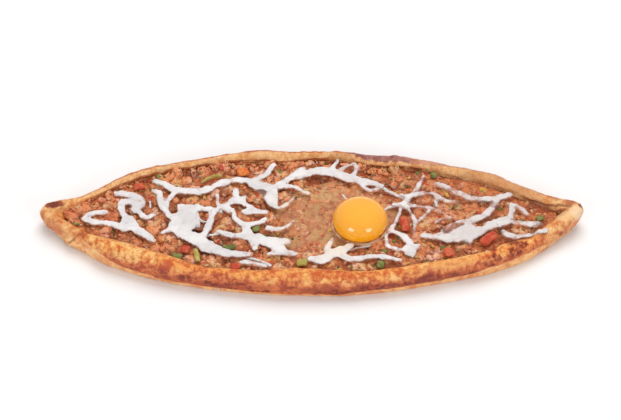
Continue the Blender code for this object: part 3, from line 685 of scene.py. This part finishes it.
meat = ((kind - tone * 0.2).within(0.60, 0.70) * 0.8).mixed(meat, paint(222, 126, 70))
meat = (tone.within(0.50, 0.60) * tone.within(0.76, 0.66) * 0.8).mixed(meat, paint(216, 170, 108))
meat = (tone.within(0.24, 0.06) * 0.8).mixed(meat, paint(142, 70, 42))
meat = (tone.within(0.86, 0.92) * 0.8).mixed(meat, paint(214, 112, 54))
meat = (x.within(-112.0, -140.0) * 0.35).mixed(meat, paint(210, 104, 50))
# Towards the far rim between x 40 and 70 mm the mince is painted darker: painted shade under the rim's lip.
meat = (x.within(40.0, 70.0) * y.within(2.0, 16.0) * 0.3).mixed(meat, paint(160, 84, 52))
meat = (small.within(0.48, 0.38) * 0.55).mixed(meat, paint(130, 62, 34))
# Pale specks over the grains: painted highlights.
meat = (fine.within(0.56, 0.68) * 0.5).mixed(meat, paint(238, 190, 146))
# The deeper a point lies in the gaps between crumbs, the darker it is painted: painted shade in the crevices.
painted_gap_shade = start.node("Attribute", {"attribute_name": "deep"}, out=2) + (small - 0.5) * 1.2
meat = (painted_gap_shade.within(0.9, 3.4) * 0.66).mixed(meat, paint(122, 56, 30))
send(meat, shader, "Base Color")
send(0.30 + 0.4 * small, shader, "Roughness")
send(raised(start, small * 0.7 + cells(at, 1.1) * 0.5 + fine * 0.4, 0.5, 0.8), shader, "Normal")

juices, shader, start = new_finish("meat juices", Roughness=0.3, Specular_IOR_Level=0.6)
at = start.node("TexCoord", out=3)
middle, small, fine = grain(at, 7.0, 3.0), grain(at, 2.0, 3.0), grain(at, 0.8, 2.0)
meat = middle.within(0.38, 0.62).mixed(paint(170, 86, 48), paint(212, 124, 72))
meat = (small.within(0.5, 0.36) * 0.6).mixed(meat, paint(104, 54, 32))
send(meat, shader, "Base Color")
send(0.22 + 0.3 * small, shader, "Roughness")
send(raised(start, small * 0.8 + cells(at, 1.4) * 0.6, 0.6, 0.9), shader, "Normal")
meat_bed.data.materials.append(juices)
for piece in (meat_lumps, meat_crumbs, meat_grains):
    piece.data.materials.append(mince)
for piece in (meat_bed, meat_lumps, meat_crumbs, meat_grains):
    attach(piece, "root")
    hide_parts("filling")

# ---------------------------------------------------------------------------------------------
# The diced vegetables. Tomato and sweet peppers cut by knife into small blocks, stirred through
# the meat before baking, so they lie half sunk in it, soft and shiny with their cut corners rounded.


def vegetable(name, skin_colour, flesh_colour, dark_colour, rough):
    """The finish of a diced vegetable: its skin on some sides, paler flesh on others, scorched specks."""
    made, shader, start = new_finish(name, Roughness=rough, Subsurface_Weight=0.12,
                                     Subsurface_Radius=(0.004, 0.002, 0.001), Subsurface_Scale=0.4)
    at = start.node("TexCoord", out=3)
    middle, small, fine = grain(at, 4.5, 2.0), grain(at, 1.6, 3.0), grain(at, 0.6, 2.0)
    body = (middle * 0.7 + small * 0.3).within(0.42, 0.58).mixed(skin_colour, flesh_colour)
    body = (small.within(0.42, 0.30) * 0.6).mixed(body, dark_colour)
    send(body, shader, "Base Color")
    send(rough - 0.1 + 0.25 * small, shader, "Roughness")
    send(raised(start, small * 0.7 + fine * 0.4, 0.3, 0.6), shader, "Normal")
    return made


red_tomato = vegetable("red tomato", paint(190, 66, 42), paint(206, 98, 64), paint(132, 46, 30), 0.32)
orange_tomato = vegetable("orange tomato", paint(214, 98, 40), paint(228, 136, 66), paint(158, 70, 34), 0.32)
green_pepper = vegetable("green pepper", paint(96, 106, 48), paint(136, 136, 74), paint(66, 66, 34), 0.36)
pale_tones = (paint(166, 150, 66), paint(190, 174, 96), paint(120, 98, 46))
pale_pepper = vegetable("yellow green pepper", *pale_tones, 0.36)
yellow_tones = (paint(206, 152, 66), paint(216, 176, 96), paint(156, 102, 46))
yellow_pepper = vegetable("yellow pepper", *yellow_tones, 0.36)
onion = vegetable("cooked onion", paint(206, 158, 112), paint(218, 182, 140), paint(168, 112, 72), 0.34)

SUNK = {"pepper_5": 1.8, "pepper_6": 1.0, "pepper_7": 0.9, "pepper_3": 0.7, "pepper_8": 0.9, "pepper_9": 0.8,
        "tomato_6": 0.6, "tomato_4": 0.9, "tomato_2": 0.7, "pepper_1": 0.6}
for name in CHUNKS:
    chunk = copy_of(name, name + "_diced")
    worked(chunk, "REMESH", mode="VOXEL", voxel_size=0.0005, use_smooth_shade=True)
    worked(chunk, "SMOOTH", factor=0.5, iterations=3)
    pts, facing = points_of(chunk), points_of(chunk, "normal")
    pts += facing * (0.55 * lumps(pts, 3.4, 31) + 0.3 * lumps(pts, 1.5, 32) - 0.15)[:, None]
    pts[:, 2] -= SUNK.get(name, 0.4)
    if name == "pepper_1":
        along = (pts[:, 0] - pts[:, 0].mean()) / 7.0
        across = pts[:, 1] - pts[:, 1].mean() - 0.55 * (pts[:, 0] - pts[:, 0].mean())
        pts[:, 1] += 2.2 * (0.5 - along ** 2) - 0.45 * across
    set_points(chunk, pts)
    if name.startswith("tomato"):
        chunk.data.materials.append(orange_tomato if name == "tomato_7" else red_tomato)
    else:
        pale_one = name in ("pepper_1", "pepper_2", "pepper_7")
        chunk.data.materials.append(pale_pepper if pale_one else green_pepper)
    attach(chunk, "root")
    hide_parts(name)


def dice_shape(long, wide_, tall):
    """The points and faces of one small knife-cut block with its corners rounded off."""
    bpy.ops.object.select_all(action="DESELECT")
    bpy.ops.mesh.primitive_cube_add(size=2.0)
    block = bpy.context.object
    bpy.ops.object.mode_set(mode="EDIT")
    bpy.ops.mesh.select_all(action="SELECT")
    bpy.ops.mesh.bevel(offset=0.42, segments=2, affect="EDGES")
    bpy.ops.object.mode_set(mode="OBJECT")
    pts = points_of(block) * MM
    pts *= np.array([long, wide_, tall]) * (1 + 0.16 * lumps(pts, 1.6, long * 9 + wide_))[:, None]
    faces = [tuple(p.vertices) for p in block.data.polygons]
    bpy.data.objects.remove(block)
    return pts, faces


dice_shapes = [
    dice_shape(1.0, 0.8, 0.6), dice_shape(1.3, 0.6, 0.55),
    dice_shape(0.9, 0.9, 0.5), dice_shape(1.7, 0.5, 0.45),
]
random_dice = random.Random(8)


def lay_dice(count, smallest, largest, chosen=()):
    """Places for diced bits: the chosen ones (x, y, radius) first, then others strewn between."""
    laid = []
    wanted = [(cx, cy, size) for cx, cy, size in chosen]
    for _ in range(count):
        px, py = random_dice.uniform(-160, 160), random_dice.uniform(-54, 56)
        wanted.append((px, py, random_dice.uniform(smallest, largest)))
    for px, py, size in wanted:
        height = in_boat(px, py, size * 0.8)
        if height is None or math.hypot(px - YOLK[0], py - YOLK[1]) < 18.5:
            continue
        top = (height_at(heap_tree, px, py) or height) + random_dice.uniform(0.1, 0.5)
        top -= 0.5 if in_white(px, py) > 0.04 else 0.0
        if cheese_tree.ray_cast(Vector((px, py, 0.0)), UP)[0] is not None:
            top = min(top, height - 0.3)
        turns = [random_dice.uniform(-0.5, 0.5), random_dice.uniform(-0.5, 0.5), random_dice.uniform(-3, 3)]
        laid.append((random_dice.randrange(4), px, py, top - size * 0.4, size, turns, random_dice.random()))
    return laid


BITS = (
    ("red_pepper_bits", red_tomato, 90, 0.7, 1.7,
     ((-105, 18, 2.2), (27, 20, 1.8), (74, 30, 2.4), (77, -39, 2.4), (33, -46, 2.4), (-60, 45, 2.4),
      (110, 5, 2.0))),
    ("green_pepper_bits", green_pepper, 70, 0.6, 1.5,
     ((-101, 37, 2.2), (-128, -10, 2), (-110, -29, 3), (-30, -15, 2), (-43, -49, 2), (52, -22, 2.2),
      (46, -30, 2.2), (71, 40, 2.2), (84, -28, 2), (137, -2, 2.6), (-22, 41, 1.8), (-65, -22, 2))),
    ("yellow_pepper_bits", yellow_pepper, 60, 0.6, 1.6,
     ((-121, 31, 2.6), (113, 24, 2.6), (88, 22, 2.4), (17, -45, 2.6), (20, 57, 2.2))),
    ("onion_bits", onion, 110, 0.7, 1.9, ((-135, 12, 2.8), (33, -46, 2.4), (-20, -44, 2.2))),
)
for name, colour, count, smallest, largest, chosen in BITS:
    bits = strewn(name, dice_shapes, lay_dice(count, smallest, largest, chosen))
    bits.data.materials.append(colour)
    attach(bits, "root")

# ---------------------------------------------------------------------------------------------
# The egg. It is broken over the pide late in the baking. The white runs out between the crumbs
# and sets as a thin cloudy film over them; the yolk stays whole, soft and shiny.
STEP = 1.1
rise_tree = tree_of(meat_bed, meat_lumps, meat_crumbs, meat_grains)
columns = np.arange(-38.0, 64.0, STEP)
rows = np.arange(-44.0, 44.0, STEP)
share = np.array([[in_white(cx, cy) for cy in rows] for cx in columns])
ground = np.array([[height_at(rise_tree, cx, cy) or 10.0 for cy in rows] for cx in columns])
ground = np.maximum(ground, 10.5)


def softened(field, times):
    """The field with its steps smoothed away, like a liquid film bridging small gaps."""
    for _ in range(times):
        padded = np.pad(field, 1, mode="edge")
        field = (padded[:-2, 1:-1] + padded[2:, 1:-1] + padded[1:-1, :-2] + padded[1:-1, 2:] + 4 * field) / 8
    return field


high = softened(np.maximum(ground, softened(ground, 4)), 1)
film = np.maximum(high, ground) + 0.1
# Towards its edge the film thins and sinks between the crumbs; under the yolk it lies level.
film -= 2.2 * (1 - ramp(share, -0.02, 0.16)) + 0.25 * (1 - ramp(share, 0.1, 0.45))
corners, numbers, faces = [], {}, []
for i, cx in enumerate(columns):
    for j, cy in enumerate(rows):
        if share[i, j] > -0.03:
            numbers[i, j] = len(corners)
            corners.append((cx * MM, cy * MM, film[i, j] * MM))
for i, j in numbers:
    around_it = [(i, j), (i + 1, j), (i + 1, j + 1), (i, j + 1)]
    if all(k in numbers for k in around_it):
        faces.append([numbers[k] for k in around_it])
mesh = bpy.data.meshes.new("egg_white_film")
mesh.from_pydata(corners, [], faces)
white_film = bpy.data.objects.new("egg_white_film", mesh)
bpy.context.scene.collection.objects.link(white_film)
pick(white_film)
bpy.ops.object.mode_set(mode="EDIT")
bpy.ops.mesh.select_all(action="SELECT")
bpy.ops.mesh.delete_loose()
bpy.ops.mesh.select_all(action="SELECT")
bpy.ops.mesh.normals_make_consistent(inside=False)
bpy.ops.object.mode_set(mode="OBJECT")
if sum(p.normal.z for p in white_film.data.polygons) < 0:
    white_film.data.flip_normals()
worked(white_film, "SOLIDIFY", thickness=0.0006, offset=-1.0)
worked(white_film, "SUBSURF", levels=1, render_levels=1)
white_film.data.shade_smooth()

set_white, shader, start = new_finish(
    "set egg white", Roughness=0.28, Specular_IOR_Level=0.6,
    Subsurface_Weight=0.1, Subsurface_Radius=(0.004, 0.003, 0.002), Subsurface_Scale=0.5,
)
at = start.node("TexCoord", out=3)
wide, middle, small = grain(at, 14.0, 2.0), grain(at, 5.0, 3.0), grain(at, 1.8, 2.0)
tint = (wide * 0.5 + middle * 0.5).within(0.42, 0.58).mixed(paint(222, 150, 110), paint(226, 180, 124))
tint = (middle.within(0.56, 0.66) * 0.5).mixed(tint, paint(206, 124, 90))
tint = (small.within(0.6, 0.72) * 0.4).mixed(tint, paint(196, 160, 96))
send(tint, shader, "Base Color")
y = Tone(start.tree, start.node("SeparateXYZ", None, {0: at}).socket.node.outputs[1]) * 1000.0
send(0.33 + 0.28 * middle.within(0.35, 0.65) + 0.26 * y.within(8.0, 24.0), shader, "Alpha")
send(0.14 + 0.2 * small, shader, "Roughness")
send(raised(start, middle * 0.8 + small * 0.8, 0.6, 0.8), shader, "Normal")
white_film.data.materials.append(set_white)
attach(white_film, "root")
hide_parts("egg_white")

low, high_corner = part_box("egg_yolk")
bpy.ops.object.select_all(action="DESELECT")
bpy.ops.mesh.primitive_uv_sphere_add(segments=96, ring_count=48, radius=1.0)
yolk = bpy.context.object
yolk.name = yolk.data.name = "yolk_dome"
radius = (high_corner.x - low.x) / 2 / MM - 0.3
middle_x, middle_y = (high_corner.x + low.x) / 2 / MM, (high_corner.y + low.y) / 2 / MM
pts = points_of(yolk) * MM
rise, depth = high_corner.z / MM - YOLK[2] - 0.5, YOLK[2] - low.z / MM
pts = pts * np.array([radius, radius, 1.0])
pts[:, 2] *= np.where(pts[:, 2] > 0, rise, depth)
pts += np.array([middle_x, middle_y, YOLK[2]])
set_points(yolk, pts)
yolk.data.shade_smooth()
yolk_skin, shader, start = new_finish(
    "egg yolk", Roughness=0.16, Specular_IOR_Level=0.55, Emission_Strength=0.16,
    Subsurface_Weight=0.55, Subsurface_Radius=(0.014, 0.008, 0.0004), Subsurface_Scale=1.0,
    Coat_Weight=0.6, Coat_Roughness=0.03,
)
at = start.node("TexCoord", out=3)
spot = start.node("SeparateXYZ", None, {0: at})
z = Tone(start.tree, spot.socket.node.outputs[2]) * 1000.0
wide = grain(at, 20.0, 2.0)
# The yolk is painted paler towards its top and deeper orange below: painted light from above.
body = (z + wide * 3.0).within(17.0, 32.0).mixed(paint(255, 168, 0), paint(255, 176, 48))
send(body, shader, "Base Color")
# A faint orange glow is painted into the lower part of the yolk, standing in for light shining through it.
send(z.within(27.0, 16.0).mixed(paint(0, 0, 0), paint(255, 186, 0)), shader, "Emission Color")
send(raised(start, grain(at, 6.0, 2.0), 0.12, 0.4), shader, "Normal")
yolk.data.materials.append(yolk_skin)
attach(yolk, "root")
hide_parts("egg_yolk")

# Round the foot of the yolk the white stands up in a thin cloudy ring.
bpy.ops.object.select_all(action="DESELECT")
bpy.ops.mesh.primitive_torus_add(
    major_segments=128, minor_segments=12, major_radius=radius * MM, minor_radius=0.0009
)
skirt = bpy.context.object
skirt.name = skirt.data.name = "yolk_skirt"
pts = points_of(skirt)
pts[:, :2] *= (1.0 + 0.03 * lumps(pts, 9.0, 51))[:, None]
pts[:, 2] = 1.3 * pts[:, 2] + 0.5 * lumps(pts, 7.0, 52)
set_points(skirt, pts + np.array([middle_x, middle_y, 14.0]))
skirt.data.shade_smooth()
skirt_white, shader, start = new_finish("white round the yolk", Roughness=0.2, Specular_IOR_Level=0.6)
at = start.node("TexCoord", out=3)
send(grain(at, 4.0).within(0.4, 0.6).mixed(paint(226, 190, 150), paint(238, 216, 186)), shader, "Base Color")
send(0.10 + 0.45 * grain(at, 7.0).within(0.4, 0.6), shader, "Alpha")
skirt.data.materials.append(skirt_white)
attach(skirt, "root")

# ---------------------------------------------------------------------------------------------
# The cheese. Young white string cheese, scattered in shreds while the pide is hot. The shreds melt
# together into flat ropes and nets that sag over the lumps of meat, cloudy white and half shiny.
melted, shader, start = new_finish("melted string cheese", Roughness=0.38, Subsurface_Weight=0.25,
                                   Subsurface_Radius=(0.004, 0.0035, 0.003), Subsurface_Scale=0.5)
at = start.node("TexCoord", out=3)
spot = start.node("SeparateXYZ", None, {0: at})
x = Tone(start.tree, spot.socket.node.outputs[0]) * 1000.0
wide, middle, small = grain(at, 18.0, 2.0), grain(at, 5.0, 3.0), grain(at, 1.6, 2.0)
white = (wide * 0.6 + middle * 0.4).within(0.38, 0.62).mixed(paint(216, 211, 211), paint(233, 229, 228))
white = (x.within(60.0, 80.0) * 0.45).mixed(white, paint(212, 200, 194))
by_egg = Vector((10.0, -4.0, 15.0)) * MM
creamy = start.node("VectorMath", {"operation": "DISTANCE"}, {0: at, 1: by_egg}, out=1) * 1000.0
white = (creamy.within(42.0, 26.0) * 0.75).mixed(white, paint(232, 218, 200))
white = (small.within(0.36, 0.26) * 0.3).mixed(white, paint(206, 190, 182))
thick, under = (start.node("Attribute", {"attribute_name": kept}, out=2) for kept in ("thick", "under"))
thick = thick + (small - 0.5) * 1.0 + (middle - 0.5) * 1.0 - 0.5 * x.within(48.0, 75.0)
# Where the cheese is thin it is tinted greyer: partly the meat showing through, partly painted shade on the
# rounded edges of the ropes.
white = (thick.within(2.0, 0.8) * 0.6).mixed(white, paint(220, 206, 204))
send(white, shader, "Base Color")
send((0.15 + 0.85 * thick.within(0.3, 1.7)) * (1.0 - under), shader, "Alpha")
send(0.30 + 0.22 * middle, shader, "Roughness")
send(raised(start, middle * 0.8 + small * 0.3, 0.4, 0.5), shader, "Normal")
# Places where a rope is stretched so thin that the meat shows through: x, y and size.
STRETCHED = ((-32.5, 19.0, 3.4), (87.0, -13.5, 2.2), (92.5, -11.0, 2.2), (97.0, -9.5, 1.6),
             (-102.0, 2.0, 1.6))


def melt(rope, rounding, swelling):
    """Works a rope of cheese into a soft, uneven, half see-through strand, and gives it its finish."""
    worked(rope, "REMESH", mode="VOXEL", voxel_size=0.0006, use_smooth_shade=True)
    worked(rope, "SMOOTH", factor=0.5, iterations=rounding)
    pts, facing = points_of(rope), points_of(rope, "normal")
    plan = pts * np.array([1.0, 1.0, 0.0])
    furrows = np.exp(-((lumps(plan * np.array([0.6, 1.0, 0.0]), 6.5, 45) / 0.13) ** 2))
    pts[:, 2] += 0.5 * lumps(plan, 7.0, 41) + 0.3 * lumps(plan, 3.4, 42) - 0.4 - 0.7 * furrows
    pts += facing * (swelling + 0.6 * lumps(pts, 5.2, 43) + 0.35 * lumps(pts, 2.2, 44))[:, None]
    set_points(rope, pts)
    worked(rope, "SMOOTH", factor=0.5, iterations=1)
    pts, itself = points_of(rope), tree_of(rope)
    roof = np.array([height_at(itself, px, py) or pz for px, py, pz in pts])
    hits = [itself.ray_cast(Vector((px, py, -5.0)), UP)[0] for px, py, pz in pts]
    floor = np.array([hit.z if hit else point[2] for hit, point in zip(hits, pts)])
    thin = np.zeros(len(pts))
    for px, py, size in STRETCHED:
        thin += np.exp(-((pts[:, 0] - px) ** 2 + (pts[:, 1] - py) ** 2) / size ** 2)
    note(rope, "thick", roof - floor - 4.0 * thin)
    note(rope, "under", ramp(roof - pts[:, 2], 0.2, 0.6))
    rope.data.materials.append(melted)
    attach(rope, "root")


for name in CHEESES:
    rope = copy_of(name, name + "_melted")
    melt(rope, 12, -0.05)
    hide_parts(name)

# Thin shreds that link the ropes: each is a line of places x and y, with its radius.
SHREDS = (
    (1.1, (46.0, 26.0), (54.2, 21.8), (58.0, 18.1), (63.5, 13.5)),
    (0.9, (47.4, 6.2), (51.1, 9.0), (57.5, 10.2)),
    (0.9, (24.0, -29.5), (30.9, -26.4), (37.3, -25.0)),
    (0.7, (35.0, -25.6), (42.5, -23.0), (49.0, -20.0)),
    (1.3, (81.0, 14.5), (81.7, 7.6)),
    (1.0, (-42.0, -35.4), (-34.0, -38.3), (-29.5, -41.7), (-25.6, -44.2)),
    (0.9, (-105.8, 14.5), (-105.3, 7.2)),
    (0.8, (72.8, -30.9), (80.4, -32.8), (86.3, -29.2)),
    (0.8, (20.0, 21.0), (25.1, 14.6)),
    (0.6, (11.4, -4.3), (12.6, -12.4), (18.2, -21.6)),
    (2.6, (-76.5, 6.0), (-74.8, -2.0), (-74.0, -11.0)),
    (2.0, (-74.0, 7.1), (-65.0, 6.0), (-58.0, 5.3)),
    (1.2, (-66.0, 6.0), (-65.2, -1.0), (-67.0, -9.0)),
    (1.4, (-68.0, -16.3), (-64.0, -15.8), (-59.0, -14.4)),
    (0.9, (-73.5, -3.0), (-69.0, -4.2), (-65.0, -3.6)),
)
shreds = []
for radius, *line in SHREDS:
    route = bpy.data.curves.new("shred", "CURVE")
    route.dimensions = "3D"
    route.bevel_depth = radius * MM
    route.bevel_resolution = 3
    route.use_fill_caps = True
    spline = route.splines.new("NURBS")
    spline.points.add(len(line) - 1)
    spline.order_u = min(4, len(line))
    spline.use_endpoint_u = True
    for point, (px, py) in zip(spline.points, line):
        point.co = (px * MM, py * MM, ((height_at(rise_tree, px, py) or 13.0) + 0.7) * MM, 1.0)
    shred = bpy.data.objects.new("shred", route)
    bpy.context.scene.collection.objects.link(shred)
    shreds.append(shred)
pick(*shreds)
bpy.ops.object.convert(target="MESH")
bpy.ops.object.join()
cheese_shreds = bpy.context.object
cheese_shreds.name = cheese_shreds.data.name = "cheese_shreds"
melt(cheese_shreds, 2, 0.25)

# A few crumbs of the cheese fell beside the ropes: two on the outside of the near rim, one at its lip.
fallen = []
crumb_places = ((-60.4, -53.6, 3.6, 0.55), (-58.4, -53.8, 3.8, 0.7), (111.7, -31.4, 14.0, 1.0))
for number, (px, py, pz, size) in enumerate(crumb_places):
    if pz < 10.0:
        spot, outward = bread_tree.find_nearest(Vector((px, py, pz)))[:2]
        px, py, pz = spot + outward * 0.5
    else:
        pz = (height_at(rise_tree, px, py) or 13.0) + 0.4
    fallen.append((number, px, py, pz, size, (0.2, 0.1, 1.3 * number), 0.5))
cheese_crumbs = strewn("cheese_crumbs", grain_shapes, fallen)
note(cheese_crumbs, "thick", [3.0] * len(cheese_crumbs.data.vertices))
note(cheese_crumbs, "under", [0.0] * len(cheese_crumbs.data.vertices))
cheese_crumbs.data.materials.append(melted)
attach(cheese_crumbs, "root")

# ---------------------------------------------------------------------------------------------
# Parsley and spices. Chopped parsley, pepper flakes and dark spice specks, stirred into the meat.
flake_shapes = []
for seed in range(3):
    bpy.ops.object.select_all(action="DESELECT")
    bpy.ops.mesh.primitive_circle_add(vertices=7, radius=1.0, fill_type="NGON")
    leaf = bpy.context.object
    bpy.ops.object.mode_set(mode="EDIT")
    bpy.ops.mesh.select_all(action="SELECT")
    bpy.ops.mesh.extrude_region_move(TRANSFORM_OT_translate={"value": (0.0, 0.0, 0.16)})
    bpy.ops.mesh.select_all(action="SELECT")
    bpy.ops.mesh.normals_make_consistent(inside=False)
    bpy.ops.object.mode_set(mode="OBJECT")
    pts = points_of(leaf) * MM
    pts[:, :2] *= (1 + 0.5 * lumps(pts, 0.9, seed + 60))[:, None]
    pts[:, 2] += 0.35 * pts[:, 0] ** 2
    flake_shapes.append((pts, [tuple(p.vertices) for p in leaf.data.polygons]))
    bpy.data.objects.remove(leaf)
all_tree = tree_of(meat_bed, meat_lumps, meat_crumbs, meat_grains)
for name, count, smallest, largest, shade in (
    ("parsley_flecks", 120, 0.35, 0.9, paint(80, 84, 42)),
    ("red_pepper_flakes", 130, 0.35, 0.8, paint(166, 56, 32)),
    ("dark_spice_specks", 200, 0.25, 0.6, paint(66, 38, 26)),
):
    laid = []
    while len(laid) < count:
        px, py = random_dice.uniform(-162, 162), random_dice.uniform(-55, 57)
        if in_boat(px, py, 1.0) is None or cheese_tree.ray_cast(Vector((px, py, 0.0)), UP)[0] is not None:
            continue
        height = height_at(all_tree, px, py)
        if height is None or math.hypot(px - YOLK[0], py - YOLK[1]) < 18.5:
            continue
        turns = [random_dice.uniform(-0.6, 0.6), random_dice.uniform(-0.6, 0.6), random_dice.uniform(-3, 3)]
        shape, size = random_dice.randrange(3), random_dice.uniform(smallest, largest)
        laid.append((shape, px, py, height + 0.05, size, turns, 0.5))
    flecks = strewn(name, flake_shapes, laid)
    made, shader, start = new_finish(name.replace("_", " "), Roughness=0.45)
    at = start.node("TexCoord", out=3)
    lighter = tuple(min(1.0, c * 1.9) for c in shade[:3]) + (1.0,)
    send(grain(at, 1.2).within(0.35, 0.65).mixed(shade, lighter), shader, "Base Color")
    flecks.data.materials.append(made)
    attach(flecks, "root")
